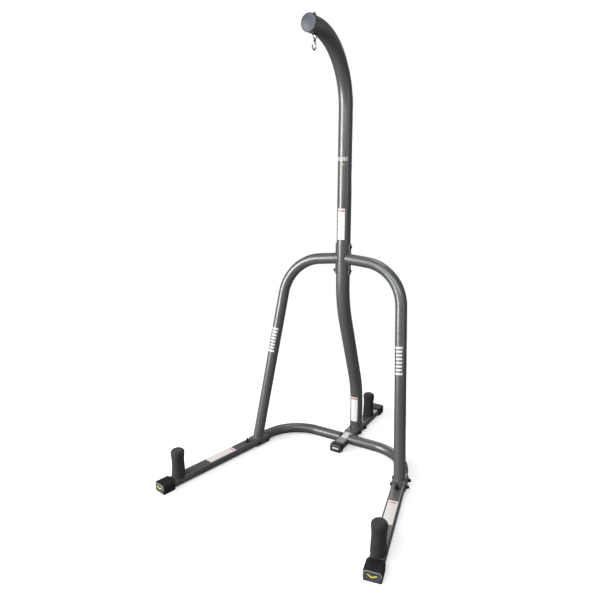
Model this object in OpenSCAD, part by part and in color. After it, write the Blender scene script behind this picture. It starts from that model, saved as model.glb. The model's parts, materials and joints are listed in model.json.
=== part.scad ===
// Free-standing heavy-bag stand: bent mast with a gooseneck, arched brace, three bolted legs with foam-covered pegs.
// Front (the bag side) is -Y, +Z is up, and the origin is on the floor under the middle of the whole outline.

/* [Mast] */
// Outside diameter of the mast tubes
mast_d = 70; // [60:1:80]
// Height of the gooseneck's centre line at its highest point
neck_top_z = 2060; // [1850:10:2400]
// Radius of the gooseneck bend, on the centre line
neck_r = 290; // [220:5:330]
// Angle through which the gooseneck turns
neck_angle = 93; // [88:1:100]
// Straight length of tube after the gooseneck bend
neck_straight = 52; // [50:1:120]
// Height of the seam between the upper and lower mast tubes
seam_z = 1046; // [1000:1:1100]
// Length of the lower mast's spigot inside the upper mast
spigot_len = 110; // [90:5:200]
// Height at which the lower mast starts to bend backwards
kick_z = 930; // [900:5:955]
// Radius of the lower mast's two bends
kick_r = 584; // [450:1:650]
// Angle of the lower mast's sloping stretch
kick_angle = 21; // [17:1:26]
// How far the foot of the mast stands behind its top
kick_back = 210; // [170:5:250]

/* [Arch brace] */
// Outside diameter of the arch tube
arch_d = 56; // [48:1:60]
// Height of the arch's centre line at the mast
arch_z = 1055; // [1045:1:1065]
// Distance of the arms' centre lines behind the mast's axis
arch_back = 0; // [-6:1:10]
// Distance from the centre plane to the corner where arm and leg lines cross
arch_corner_x = 314; // [290:1:340]
// Angle by which each arm sweeps forwards
arch_sweep = 1.7; // [0:0.1:5]
// Angle by which each arm slopes down
arch_drop = 5.2; // [3:0.1:9]
// Radius of the arch's bends
arch_r = 220; // [150:1:230]

/* [Base] */
// Outside diameter of the crossbar tube
crossbar_d = 54; // [48:1:60]
// Distance of the crossbar's centre line behind the mast's axis
crossbar_back = 67; // [55:1:80]
// Half length of the crossbar's straight stretch
crossbar_half = 182; // [140:1:220]
// Radius of the crossbar's bends
crossbar_r = 221; // [180:1:240]
// Angle by which each front leg points outwards
leg_splay = 11.25; // [5:0.25:20]
// Distance from the crossbar's bend to the end of a front foot
front_leg_len = 718; // [600:1:850]
// Distance from the mast's axis back to the end of the rear foot
rear_leg_end = 550; // [500:1:650]
// Width of the leg tubes
leg_w = 62; // [56:1:70]
// Height of the leg tubes
leg_h = 36; // [32:1:44]
// Corner radius of the leg tubes
leg_corner = 10; // [6:1:14]
// Gap between the floor and the underside of the leg tubes
leg_lift = 4; // [3:0.5:8]

/* [Walls and plates] */
// Wall thickness of all tubes
tube_wall = 2; // [1.5:0.5:3]
// Thickness of the bent plate brackets
plate_t = 4; // [3:0.5:6]

/* [Foot caps] */
// Thickness of a foot cap's sides
cap_side = 6.2; // [4:0.2:10]
// Thickness of a foot cap's top
cap_top = 7; // [4:0.5:12]
// Length of a foot cap
cap_len = 66; // [50:1:90]

/* [Pegs and foam sleeves] */
// Diameter of the steel pegs
peg_d = 25.4; // [20:0.1:30]
// Height of the steel pegs above the legs
peg_h = 122; // [100:1:180]
// Distance from the end of a front foot to its peg
front_peg_in = 109; // [104:1:160]
// Distance from the end of the rear foot to its peg
rear_peg_in = 160; // [104:1:170]
// Outside diameter of the foam sleeves
foam_d = 67; // [55:1:75]
// Height of the foam sleeves
foam_h = 138; // [130:1:200]

/* [Bag hook] */
// Distance from the mast's tip back to the eye bolt
eye_back = 44; // [40:1:48]
// Diameter of the eye bolt's wire
eye_wire = 6; // [5:0.5:7]
// Diameter of the hook's wire
hook_wire = 6.5; // [6:0.5:7]
// Radius of the hook's open bow, on the centre line
hook_bow_r = 14.5; // [12:0.5:20]
// Length of the hook's straight shank
hook_shank = 14; // [10:1:30]

/* [Hidden] */
$fn = 64;

// Clearances
slip_gap = 0.3;      // between a tube and the plate or tube that slips over it
thread_gap = 0.05;   // between a bolt and its nut or washer
hole_gap = 0.2;      // between a bolt and the hole that it passes
peg_gap = 0.05;      // between a peg and its foam sleeve
weld_len = 1;        // butt weld that joins two stretches of one tube
weld_rise = 0.1;     // how far that weld stands out of the tube
cut_over = 1;        // how far a cut runs past the face that it opens

// Fasteners
bolt_d = 10;
bolt_head_d = 18;
bolt_head_h = 6;
bolt_tail = 3;       // thread that shows past a nut
nut_af = 17;
nut_h = 9;
washer_d = 21;
washer_t = 2;
flat_head_d = 20;    // flat head under a leg
flat_head_h = 3;
upright_tail = 12;   // thread that shows past an upright bolt's nut
eye_shank_d = 8;
eye_nut_af = 13;
eye_nut_h = 7;

// Heights
leg_top_z = leg_lift + leg_h;
leg_mid_z = leg_lift + leg_h / 2;
saddle_top_z = leg_top_z + slip_gap + plate_t;
saddle_side_z = leg_top_z - leg_corner;   // where a saddle's round corners run into its sides
crossbar_z = 1 + crossbar_d / 2;

// Plan of the base, measured from the mast's axis
bend_turn = 90 - leg_splay;
bend_end_x = crossbar_half + crossbar_r * sin(bend_turn);
bend_end_y = crossbar_back - crossbar_r * (1 - cos(bend_turn));
cap_w = leg_w + 2 * (slip_gap + cap_side);
cap_h = leg_top_z + cap_top;
cap_round = 8;
front_edge_y = bend_end_y - (front_leg_len - cap_round) * cos(leg_splay)
             - (cap_w / 2 - cap_round) * sin(leg_splay) - cap_round;
axis_y = -(front_edge_y + rear_leg_end) / 2;

// Stations along a front leg, from the crossbar's bend towards the foot
swage_len = 26;                       // round tube formed to a rectangle
swage_lap = 0.4;                      // how far the formed stretch reaches into the bend
swage_step = 0.1;                     // how far it stands out of the rectangle
swage_flare = 6;                      // how far the round widens as it is pressed
swage_flat = 4;                       // length of its last, fully pressed stretch
saddle_start = 30;
saddle_len = 92;
arch_foot_at = 88;
arch_bolts_at = [45, 104];
leg_bolt_at = 165;                    // the upright bolt
leg_start = 32;
crossbar_spigot_end = 190;

// Stations behind the mast's axis, along the rear leg
mast_foot_start = 130;
mast_foot_end = 292;
mast_foot_bolts_at = [178, 252];
rear_joint_at = 216;
rear_spigot_len = 116;
centre_tube_front = -50;
centre_cap_len = 32;
centre_cap_side = 3.7;                // thickness of its sides
centre_cap_top = 4;                   // thickness of its top

// Mast bracket
bracket_z = arch_z - 4;
bracket_h = 160;
bracket_reach = 12;                   // how far its cheeks run in front of the mast's axis
bracket_bolt_rise = 61;

// Gooseneck
neck_start_z = neck_top_z - neck_r;
neck_dip = neck_angle - 90;
tip_y = axis_y - neck_r - neck_r * sin(neck_dip) - neck_straight * cos(neck_dip);
tip_z = neck_start_z + neck_r * cos(neck_dip) - neck_straight * sin(neck_dip);

// Eye bolt and hook
eye_saddle_t = 3;
eye_saddle_d = 20;
eye_saddle_skirt = 4;                 // how far its hollow side reaches down the tube
eye_r = 7;                            // centre line of the eye
eye_centre_drop = mast_d / 2 + eye_saddle_t + eye_r + eye_wire / 2;
eye_pivot_drop = eye_centre_drop + eye_r;
hook_eye_r = 7;
hook_tip = 6;
hook_hang = 0.3;                      // air between the eye's wire and the hook's loop
pivot = [
    0,
    tip_y + eye_back * cos(neck_dip) + eye_pivot_drop * sin(neck_dip),
    tip_z + eye_back * sin(neck_dip) - eye_pivot_drop * cos(neck_dip)
];

// Colours
frame_grey = [0.33, 0.34, 0.34];
cap_black = [0.12, 0.12, 0.12];
foam_black = [0.07, 0.07, 0.07];
zinc = [0.72, 0.72, 0.70];
bolt_black = [0.15, 0.15, 0.16];

// Shared shapes

function unit(v) = v / norm(v);

// Places its children with local X, Y and Z along the three given directions.
module place(p, x, y, z) {
    multmatrix([
        [x[0], y[0], z[0], p[0]],
        [x[1], y[1], z[1], p[1]],
        [x[2], y[2], z[2], p[2]],
        [0, 0, 0, 1]
    ]) children();
}

// Any direction at right angles to d, and level.
function level_side(d) = abs(d[2]) > 0.999 ? [1, 0, 0] : unit(cross([0, 0, 1], d));

// Round bar from p along the unit direction d.
module straight_bar(p, d, len, r) {
    side = level_side(d);
    place(p, side, cross(d, side), d) cylinder(h = len, r = r);
}

// Round bar from p that turns from direction d0 to direction d1 with its centre line on radius bend_r.
module bent_bar(p, d0, d1, bend_r, r) {
    turn = acos(d0 * d1);
    inward = unit(d1 - (d0 * d1) * d0);
    place(p + bend_r * inward, -inward, d0, cross(-inward, d0))
        rotate_extrude(angle = turn, $fn = 96) translate([bend_r, 0]) circle(r = r);
}

// Ring that joins two stretches of a bar where they meet at p.
module butt_weld(p, d, r) {
    straight_bar(p - d * weld_len / 2, d, weld_len, r + weld_rise);
}

function bend_end(p, d0, d1, bend_r) =
    let (turn = acos(d0 * d1), inward = unit(d1 - (d0 * d1) * d0))
    p + bend_r * inward * (1 - cos(turn)) + bend_r * sin(turn) * d0;

// Rectangle with round corners, centred.
module round_rect(w, h, r) {
    square([w - 2 * r, h], center = true);
    square([w, h - 2 * r], center = true);
    for (x = [-1, 1], y = [-1, 1])
        translate([x * (w / 2 - r), y * (h / 2 - r)]) circle(r = r);
}

// Solid bar with the leg tube's section, grown by grow on every side, between two stations on local Y.
module leg_bar(from, to, grow = 0) {
    translate([0, to, leg_mid_z]) rotate([90, 0, 0]) linear_extrude(height = to - from)
        round_rect(leg_w + 2 * grow, leg_h + 2 * grow, leg_corner + grow);
}

module leg_tube(from, to, shrink = 0) {
    difference() {
        leg_bar(from, to, -shrink);
        leg_bar(from - cut_over, to + cut_over, -shrink - tube_wall);
    }
}

// Inverted channel that saddles a leg, between two stations on local Y.
module saddle(from, to) {
    difference() {
        leg_bar(from, to, slip_gap + plate_t);
        leg_bar(from - cut_over, to + cut_over, slip_gap);
        translate([-leg_w, from - cut_over, leg_lift + 1 - 4 * leg_h])
            cube([2 * leg_w, to - from + 2 * cut_over, 4 * leg_h]);
    }
}

// Round hole across a leg at a station on local Y.
module cross_hole(at, d = bolt_d) {
    translate([-leg_w, at, leg_mid_z]) rotate([0, 90, 0]) cylinder(h = 2 * leg_w, d = d + 2 * hole_gap);
}

// Upright hole through a leg at a station on local Y.
module upright_hole(at) {
    translate([0, at, -cut_over]) cylinder(h = leg_top_z + 2 * cut_over, d = bolt_d + 2 * hole_gap);
}

// Front-leg frame: local Y runs out along the leg, local Z is up, local X points to the stand's inner side.
module on_leg(side) {
    mirror([side < 0 ? 1 : 0, 0, 0])
        translate([bend_end_x, axis_y + bend_end_y, 0]) rotate([0, 0, 180 + leg_splay]) children();
}

// Rear-leg frame: local Y runs back from the mast's axis.
module on_rear() {
    translate([0, axis_y, 0]) children();
}

// Frame at the mast's tip: local -Y runs out of the tube.
module on_tip() {
    translate([0, tip_y, tip_z]) rotate([neck_dip, 0, 0]) children();
}

// Bolt along local X through a stack of half width half, its head on the +X side; it ends past a nut, or at end.
module cross_bolt(half, end = undef) {
    grip = half + washer_t;
    end_x = is_undef(end) ? -grip - nut_h - bolt_tail : end;
    translate([end_x, 0, 0]) rotate([0, 90, 0]) cylinder(h = grip - end_x, d = bolt_d);
    translate([grip, 0, 0]) rotate([0, 90, 0]) dome_head();
}

// Bolt that stands up through a leg, its flat head beneath; its origin is on the floor.
module upright_bolt() {
    head_z = leg_lift - flat_head_h;
    translate([0, 0, head_z]) cylinder(h = flat_head_h, d = flat_head_d);
    translate([0, 0, head_z])
        cylinder(h = leg_top_z + washer_t + nut_h + upright_tail - head_z, d = bolt_d);
}

module dome_head() {
    crown = bolt_head_h;
    socket_af = 6;
    socket_h = 3;
    ball_r = (pow(bolt_head_d / 2, 2) + pow(crown, 2)) / (2 * crown);
    difference() {
        intersection() {
            cylinder(h = crown, d = bolt_head_d);
            translate([0, 0, crown - ball_r]) sphere(r = ball_r);
        }
        translate([0, 0, crown - socket_h]) cylinder(h = crown, d = socket_af / cos(30), $fn = 6);
    }
}

module washer() {
    difference() {
        cylinder(h = washer_t, d = washer_d);
        translate([0, 0, -cut_over]) cylinder(h = washer_t + 2 * cut_over, d = bolt_d + 2 * thread_gap);
    }
}

module cross_washers(half, sides = [-1, 1]) {
    for (side = sides) let (x = side < 0 ? -half - washer_t : half)
        translate([x, 0, 0]) rotate([0, 90, 0]) washer();
}

module hex_nut(af, h, d) {
    collar_h = 0.22 * h;
    collar_d = 0.86 * af;
    difference() {
        union() {
            cylinder(h = h - collar_h, d = af / cos(30), $fn = 6);
            cylinder(h = h, d = collar_d);
        }
        translate([0, 0, -cut_over]) cylinder(h = h + 2 * cut_over, d = d + 2 * thread_gap);
    }
}

module cross_nut(half) {
    translate([-half - washer_t, 0, 0]) rotate([0, -90, 0]) hex_nut(nut_af, nut_h, bolt_d);
}

// Every cross bolt's place: its children are drawn once there, with local X along the bolt.
leg_half = leg_w / 2;
saddle_half = leg_half + slip_gap + plate_t;
bracket_half = mast_d / 2 + slip_gap + plate_t;

module at_mast_bolt(z) {
    translate([0, axis_y, bracket_z + z * bracket_bolt_rise]) children();
}
module at_arch_bolts() {
    for (side = [-1, 1], at = arch_bolts_at) on_leg(side) translate([0, at, leg_mid_z]) children();
}
module at_leg_bolts(z = 0) {
    for (side = [-1, 1]) on_leg(side) translate([0, leg_bolt_at, z]) children();
}
module at_mast_foot_bolts() {
    for (at = mast_foot_bolts_at) on_rear() translate([0, at, leg_mid_z]) rotate([0, 0, 180]) children();
}

// Mast

// Hole for a mast bolt: the upper bolt passes one side only and ends in a nut welded inside the spigot.
module mast_bolt_hole(one_side) {
    from = one_side ? 0 : -mast_d;
    translate([from, 0, 0]) rotate([0, 90, 0]) cylinder(h = mast_d - from, d = bolt_d + 2 * hole_gap);
}

module neck_path(r, end_over = 0) {
    start = [0, axis_y, neck_start_z];
    d1 = [0, -cos(neck_dip), -sin(neck_dip)];
    bend_stop = bend_end(start, [0, 0, 1], d1, neck_r);
    butt_weld(start, [0, 0, 1], r);
    bent_bar(start, [0, 0, 1], d1, neck_r, r);
    butt_weld(bend_stop, d1, r);
    straight_bar(bend_stop, d1, neck_straight + end_over, r);
}

module upper_mast() {
    color(frame_grey) difference() {
        union() {
            translate([0, axis_y, seam_z]) cylinder(h = neck_start_z - seam_z, d = mast_d);
            neck_path(mast_d / 2);
        }
        translate([0, axis_y, seam_z - cut_over])
            cylinder(h = neck_start_z - seam_z + cut_over, d = mast_d - 2 * tube_wall);
        neck_path(mast_d / 2 - tube_wall, cut_over);
        translate([0, axis_y, bracket_z + bracket_bolt_rise]) mast_bolt_hole(true);
        on_tip() translate([0, eye_back, -mast_d]) cylinder(h = 2 * mast_d, d = eye_shank_d + 2 * hole_gap);
    }
}

slope = [0, sin(kick_angle), -cos(kick_angle)];
kick_straight = (kick_back - 2 * kick_r * (1 - cos(kick_angle))) / sin(kick_angle);
kick_start = [0, axis_y, kick_z];
slope_start = bend_end(kick_start, [0, 0, -1], slope, kick_r);
slope_end = slope_start + kick_straight * slope;
foot_start = bend_end(slope_end, slope, [0, 0, -1], kick_r);

module lower_mast_path(r, top_z, bottom_z) {
    translate([0, axis_y, kick_z]) cylinder(h = top_z - kick_z, r = r);
    butt_weld(kick_start, [0, 0, -1], r);
    bent_bar(kick_start, [0, 0, -1], slope, kick_r, r);
    butt_weld(slope_start, slope, r);
    straight_bar(slope_start, slope, kick_straight, r);
    butt_weld(slope_end, slope, r);
    bent_bar(slope_end, slope, [0, 0, -1], kick_r, r);
    butt_weld(foot_start, [0, 0, -1], r);
    translate([0, axis_y + kick_back, bottom_z]) cylinder(h = foot_start[2] - bottom_z, r = r);
}

spigot_r = mast_d / 2 - tube_wall - slip_gap;

module lower_mast() {
    body_r = mast_d / 2;
    spigot_root = 30;
    inner_step = 12;
    color(frame_grey) difference() {
        union() {
            lower_mast_path(body_r, seam_z - slip_gap, saddle_side_z);
            translate([0, axis_y, seam_z - spigot_root]) cylinder(h = spigot_len + spigot_root, r = spigot_r);
        }
        lower_mast_path(body_r - tube_wall, seam_z - inner_step, saddle_side_z - cut_over);
        translate([0, axis_y, kick_z]) cylinder(h = seam_z + spigot_len, r = spigot_r - tube_wall);
        for (z = [-1, 1]) translate([0, axis_y, bracket_z + z * bracket_bolt_rise]) mast_bolt_hole(z > 0);
        on_rear() leg_bar(mast_foot_start - mast_d, mast_foot_end + mast_d, slip_gap + plate_t);
    }
}

module mast_tip_cap() {
    lip_t = 2.5;
    lip_over = 0.8;
    dome = 3;
    plug_len = 18;
    plug_wall = 3;
    plug_r = mast_d / 2 - tube_wall - slip_gap;
    lip_r = mast_d / 2 + lip_over;
    ball_r = (pow(lip_r, 2) + pow(dome, 2)) / (2 * dome);
    color([0.45, 0.46, 0.48]) on_tip() rotate([90, 0, 0]) {
        cylinder(h = lip_t, r = lip_r);
        translate([0, 0, lip_t]) intersection() {
            cylinder(h = dome, r = lip_r);
            translate([0, 0, dome - ball_r]) sphere(r = ball_r, $fn = 128);
        }
        difference() {
            translate([0, 0, -plug_len]) cylinder(h = plug_len, r = plug_r);
            translate([0, 0, -plug_len - cut_over]) cylinder(h = plug_len, r = plug_r - plug_wall);
        }
    }
}

// Arch brace

// Plan of the bracket's U: round behind the mast's axis and straight for the given reach in front of it.
module bracket_outline(grow, reach) {
    r = mast_d / 2 + grow;
    intersection() {
        circle(r = r, $fn = 96);
        translate([-r, 0]) square([2 * r, r]);
    }
    translate([-r, -reach]) square([2 * r, reach]);
}

module mast_bracket() {
    color(frame_grey) translate([0, axis_y, bracket_z - bracket_h / 2]) difference() {
        linear_extrude(height = bracket_h) difference() {
            bracket_outline(slip_gap + plate_t, bracket_reach);
            bracket_outline(slip_gap, bracket_reach + cut_over);
        }
        for (z = [-1, 1]) translate([0, 0, bracket_h / 2 + z * bracket_bolt_rise]) mast_bolt_hole(z > 0);
    }
}

arm_dir = [cos(arch_sweep) * cos(arch_drop), -sin(arch_sweep) * cos(arch_drop), -sin(arch_drop)];
arch_middle = [0, axis_y + arch_back, arch_z];
arm_reach = arch_corner_x / arm_dir[0];
arch_corner = arch_middle + arm_reach * arm_dir;
arch_foot = [
    bend_end_x + arch_foot_at * sin(leg_splay),
    axis_y + bend_end_y - arch_foot_at * cos(leg_splay),
    leg_mid_z
];
arch_leg_dir = unit(arch_foot - arch_corner);
arch_tangent = arch_r * tan(acos(arm_dir * arch_leg_dir) / 2);

module half_arch(r) {
    arm = arm_reach - arch_tangent;
    bend_from = arch_middle + arm * arm_dir;
    leg_from = arch_corner + arch_tangent * arch_leg_dir;
    straight_bar(arch_middle, arm_dir, arm, r);
    butt_weld(bend_from, arm_dir, r);
    bent_bar(bend_from, arm_dir, arch_leg_dir, arch_r, r);
    butt_weld(leg_from, arch_leg_dir, r);
    straight_bar(leg_from, arch_leg_dir, norm(arch_foot - leg_from), r);
}

// One side of the arch, coped to the bracket's cheek, round the mast in front of it, and to the saddle on the leg.
module arch_side(side) {
    color(frame_grey) difference() {
        mirror([side < 0 ? 1 : 0, 0, 0]) half_arch(arch_d / 2);
        mirror([side < 0 ? 1 : 0, 0, 0]) half_arch(arch_d / 2 - tube_wall);
        translate([0, axis_y, arch_z - bracket_h]) linear_extrude(height = 2 * bracket_h) {
            bracket_outline(slip_gap + plate_t, bracket_reach);
            circle(r = mast_d / 2 + slip_gap, $fn = 96);
        }
        on_leg(side) leg_bar(arch_foot_at - 2 * arch_d, arch_foot_at + 2 * arch_d, slip_gap + plate_t);
    }
}
module left_arch() { arch_side(-1); }
module right_arch() { arch_side(1); }

module arch_foot_saddle(side) {
    color(frame_grey) on_leg(side) difference() {
        saddle(saddle_start, saddle_start + saddle_len);
        for (at = arch_bolts_at) cross_hole(at);
    }
}
module left_arch_foot() { arch_foot_saddle(-1); }
module right_arch_foot() { arch_foot_saddle(1); }

// Base

module mast_foot() {
    color(frame_grey) on_rear() difference() {
        saddle(mast_foot_start, mast_foot_end);
        for (at = mast_foot_bolts_at) cross_hole(at);
    }
}

module centre_tube() {
    color(frame_grey) on_rear() difference() {
        leg_tube(centre_tube_front, rear_joint_at);
        cross_hole(mast_foot_bolts_at[0]);
    }
}

module rear_spigot() {
    color(frame_grey) on_rear() difference() {
        leg_tube(rear_joint_at - rear_spigot_len / 2, rear_joint_at + rear_spigot_len / 2, tube_wall + slip_gap);
        for (at = mast_foot_bolts_at) cross_hole(at);
    }
}

// Crossbar tube and its bend, measured from the middle of the stand.
module crossbar_run(r, inner_x) {
    butt_weld([crossbar_half, axis_y + crossbar_back, crossbar_z], [1, 0, 0], r);
    butt_weld([bend_end_x, axis_y + bend_end_y, crossbar_z], [sin(leg_splay), -cos(leg_splay), 0], r);
    translate([inner_x, axis_y + crossbar_back, crossbar_z]) rotate([0, 90, 0])
        cylinder(h = crossbar_half - inner_x, r = r);
    translate([crossbar_half, axis_y + crossbar_back - crossbar_r, crossbar_z])
        rotate([0, 0, leg_splay]) rotate_extrude(angle = bend_turn, $fn = 96)
            translate([crossbar_r, 0]) circle(r = r);
}

// Round end of the crossbar pressed flat, below, above and on both sides, to fit inside a leg.
module swage(shrink) {
    r = crossbar_d / 2 - shrink;
    half_w = leg_w / 2 - tube_wall - slip_gap - shrink + swage_step;
    half_h = leg_h / 2 - tube_wall - slip_gap - shrink + swage_step;
    pressed = swage_len - swage_flat;
    far = swage_len + cut_over;
    intersection() {
        translate([0, -swage_lap, crossbar_z]) rotate([-90, 0, 0])
            cylinder(h = swage_len + swage_lap, r1 = r - swage_step, r2 = r + swage_flare);
        rotate([90, 0, 90]) linear_extrude(height = 2 * leg_w, center = true) polygon([
            [-1, crossbar_z - r - 1], [1, crossbar_z - r - 1], [pressed, leg_mid_z - half_h], [far, leg_mid_z - half_h],
            [far, leg_mid_z + half_h], [pressed, leg_mid_z + half_h], [1, crossbar_z + r + 1], [-1, crossbar_z + r + 1]
        ]);
        linear_extrude(height = 2 * crossbar_d) polygon([
            [-r - 1, -1], [-r - 1, 1], [-half_w, pressed], [-half_w, far],
            [half_w, far], [half_w, pressed], [r + 1, 1], [r + 1, -1]
        ]);
    }
}

module crossbar(side) {
    inner_x = leg_half - leg_corner / 2;
    color(frame_grey) difference() {
        union() {
            mirror([side < 0 ? 1 : 0, 0, 0]) crossbar_run(crossbar_d / 2, inner_x);
            on_leg(side) {
                swage(0);
                leg_bar(swage_len - 2, crossbar_spigot_end, -tube_wall - slip_gap);
            }
        }
        mirror([side < 0 ? 1 : 0, 0, 0]) crossbar_run(crossbar_d / 2 - tube_wall, leg_half + plate_t);
        on_leg(side) {
            swage(tube_wall);
            leg_bar(swage_len - 2, crossbar_spigot_end + cut_over, -2 * tube_wall - slip_gap);
            for (at = arch_bolts_at) cross_hole(at);
            upright_hole(leg_bolt_at);
        }
        on_rear() leg_bar(centre_tube_front, rear_joint_at);
    }
}
module left_crossbar() { crossbar(-1); }
module right_crossbar() { crossbar(1); }

cap_wall = 6;

module front_leg(side) {
    color(frame_grey) on_leg(side) difference() {
        leg_tube(leg_start, front_leg_len - cap_wall);
        for (at = arch_bolts_at) cross_hole(at);
        upright_hole(leg_bolt_at);
    }
}
module left_leg() { front_leg(-1); }
module right_leg() { front_leg(1); }

module rear_leg() {
    color(frame_grey) on_rear() difference() {
        leg_tube(rear_joint_at + slip_gap, rear_leg_end - cap_wall);
        cross_hole(mast_foot_bolts_at[1]);
    }
}

// Cap that slips over the end of a leg; its outer face is at the station end on local Y.
module foot_cap(end, w, h, len, square_base = true) {
    top_r = 13;
    base_in = 3;
    color(cap_black) difference() {
        intersection() {
            translate([0, end, 0]) rotate([90, 0, 0]) linear_extrude(height = len) {
                translate([0, h / 2]) round_rect(w, h, top_r);
                if (square_base) translate([-w / 2 + base_in, 0]) square([w - 2 * base_in, h / 2]);
            }
            translate([0, end - len / 2, 0]) linear_extrude(height = h) round_rect(w, len, cap_round);
        }
        leg_bar(end - 2 * len, end - cap_wall, slip_gap);
    }
}
module left_foot_cap() { on_leg(-1) foot_cap(front_leg_len, cap_w, cap_h, cap_len); }
module right_foot_cap() { on_leg(1) foot_cap(front_leg_len, cap_w, cap_h, cap_len); }
module rear_foot_cap() { on_rear() foot_cap(rear_leg_end, cap_w, cap_h, cap_len); }
module centre_foot_cap() {
    w = leg_w + 2 * (slip_gap + centre_cap_side);
    on_rear() mirror([0, 1, 0])
        foot_cap(-centre_tube_front + cap_wall, w, leg_top_z + centre_cap_top, centre_cap_len, false);
}

// Pegs

module peg(at) {
    color(frame_grey) translate([0, at, leg_top_z]) difference() {
        cylinder(h = peg_h, d = peg_d);
        translate([0, 0, -cut_over]) cylinder(h = peg_h + 2 * cut_over, d = peg_d - 2 * tube_wall);
    }
}
module left_peg() { on_leg(-1) peg(front_leg_len - front_peg_in); }
module right_peg() { on_leg(1) peg(front_leg_len - front_peg_in); }
module rear_peg() { on_rear() peg(rear_leg_end - rear_peg_in); }

module foam_sleeve(at) {
    round_r = 14;
    crown_gap = 2;
    r = foam_d / 2;
    color(foam_black) translate([0, at, leg_top_z + slip_gap]) difference() {
        union() {
            cylinder(h = foam_h - round_r, r = r);
            cylinder(h = foam_h, r = r - round_r);
            translate([0, 0, foam_h - round_r]) rotate_extrude() translate([r - round_r, 0])
                intersection() {
                    circle(r = round_r);
                    square(round_r);
                }
        }
        translate([0, 0, -cut_over]) cylinder(h = peg_h + crown_gap + cut_over, d = peg_d + 2 * peg_gap);
    }
}
module left_foam_sleeve() { on_leg(-1) foam_sleeve(front_leg_len - front_peg_in); }
module right_foam_sleeve() { on_leg(1) foam_sleeve(front_leg_len - front_peg_in); }
module rear_foam_sleeve() { on_rear() foam_sleeve(rear_leg_end - rear_peg_in); }

// Fasteners

weld_nut_face = sqrt(pow(spigot_r - tube_wall, 2) - pow(nut_af / 2, 2)) - thread_gap;

module mast_bolts() {
    color(bolt_black) {
        at_mast_bolt(-1) cross_bolt(bracket_half);
        at_mast_bolt(1) cross_bolt(bracket_half, weld_nut_face - nut_h - bolt_tail);
    }
}
module arch_foot_bolts() { color(bolt_black) at_arch_bolts() cross_bolt(saddle_half); }
module leg_bolts() { color(bolt_black) at_leg_bolts() upright_bolt(); }
module mast_foot_bolts() { color(bolt_black) at_mast_foot_bolts() cross_bolt(saddle_half); }

module bolt_washers() {
    color(bolt_black) {
        at_mast_bolt(-1) cross_washers(bracket_half);
        at_mast_bolt(1) cross_washers(bracket_half, [1]);
        at_arch_bolts() cross_washers(saddle_half);
        at_leg_bolts(leg_top_z) washer();
        at_mast_foot_bolts() cross_washers(saddle_half);
    }
}

module bolt_nuts() {
    color(bolt_black) {
        at_mast_bolt(-1) cross_nut(bracket_half);
        at_mast_bolt(1) translate([weld_nut_face, 0, 0]) rotate([0, -90, 0]) hex_nut(nut_af, nut_h, bolt_d);
        at_arch_bolts() cross_nut(saddle_half);
        at_leg_bolts(leg_top_z + washer_t) hex_nut(nut_af, nut_h, bolt_d);
        at_mast_foot_bolts() cross_nut(saddle_half);
    }
}

// Eye bolt and hook

eye_nut_seat = mast_d / 2 + eye_saddle_t;

module eye_bolt() {
    color(zinc) on_tip() translate([0, eye_back, 0]) {
        difference() {
            translate([0, 0, -eye_centre_drop + eye_r])
                cylinder(h = eye_centre_drop - eye_r + eye_nut_seat + eye_nut_h + 2, d = eye_shank_d);
            translate([0, 0, -eye_centre_drop]) rotate([90, 0, 0])
                cylinder(h = eye_shank_d + 2, r = eye_r, center = true);
        }
        translate([0, 0, -eye_centre_drop]) rotate([90, 0, 0])
            rotate_extrude() translate([eye_r, 0]) circle(d = eye_wire, $fn = 32);
    }
}

// Plate washers hollowed to sit on the round tube, above and below it.
module eye_saddle_washers() {
    color(bolt_black) on_tip() translate([0, eye_back, 0]) for (flip = [0, 180]) rotate([0, flip, 0]) difference() {
        translate([0, 0, mast_d / 2 - eye_saddle_skirt])
            cylinder(h = eye_saddle_t + eye_saddle_skirt, d = eye_saddle_d);
        translate([0, mast_d, 0]) rotate([90, 0, 0]) cylinder(h = 2 * mast_d, d = mast_d + 2 * thread_gap, $fn = 96);
        cylinder(h = mast_d, d = eye_shank_d + 2 * thread_gap);
    }
}

module eye_bolt_nut() {
    color(bolt_black) on_tip() translate([0, eye_back, eye_nut_seat]) hex_nut(eye_nut_af, eye_nut_h, eye_shank_d);
}

// The hook's outline below its pivot, before it tilts to hang: an eye, a shank, an open bow and a short tip.
loop_z = eye_wire / 2 + hook_wire / 2 + hook_hang - hook_eye_r;
shank_top = loop_z - hook_eye_r;
bow_z = shank_top - hook_shank;

// Lengths and centres [y, z] of the hook's four stretches, which give the angle at which it hangs.
hook_lengths = [2 * PI * hook_eye_r, hook_shank, PI * hook_bow_r, hook_tip];
hook_centres = [
    [0, loop_z],
    [0, (shank_top + bow_z) / 2],
    [-hook_bow_r, bow_z - 2 * hook_bow_r / PI],
    [-2 * hook_bow_r, bow_z + hook_tip / 2]
];
hang_y = hook_lengths * [for (c = hook_centres) c[0]];
hang_z = hook_lengths * [for (c = hook_centres) c[1]];
hook_tilt = atan(hang_y / hang_z);

module bag_hook() {
    r = hook_wire / 2;
    color(zinc) translate(pivot) rotate([hook_tilt, 0, 0]) {
        translate([0, 0, loop_z]) rotate([0, 90, 0])
            rotate_extrude() translate([hook_eye_r, 0]) circle(r = r, $fn = 32);
        translate([0, 0, bow_z]) cylinder(h = hook_shank, r = r);
        translate([0, -hook_bow_r, bow_z]) rotate([0, 90, 0]) rotate([0, 0, -90])
            rotate_extrude(angle = 180) translate([hook_bow_r, 0]) circle(r = r, $fn = 32);
        translate([0, -2 * hook_bow_r, bow_z]) {
            cylinder(h = hook_tip, r = r);
            translate([0, 0, hook_tip]) sphere(r = r);
        }
    }
}

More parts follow.
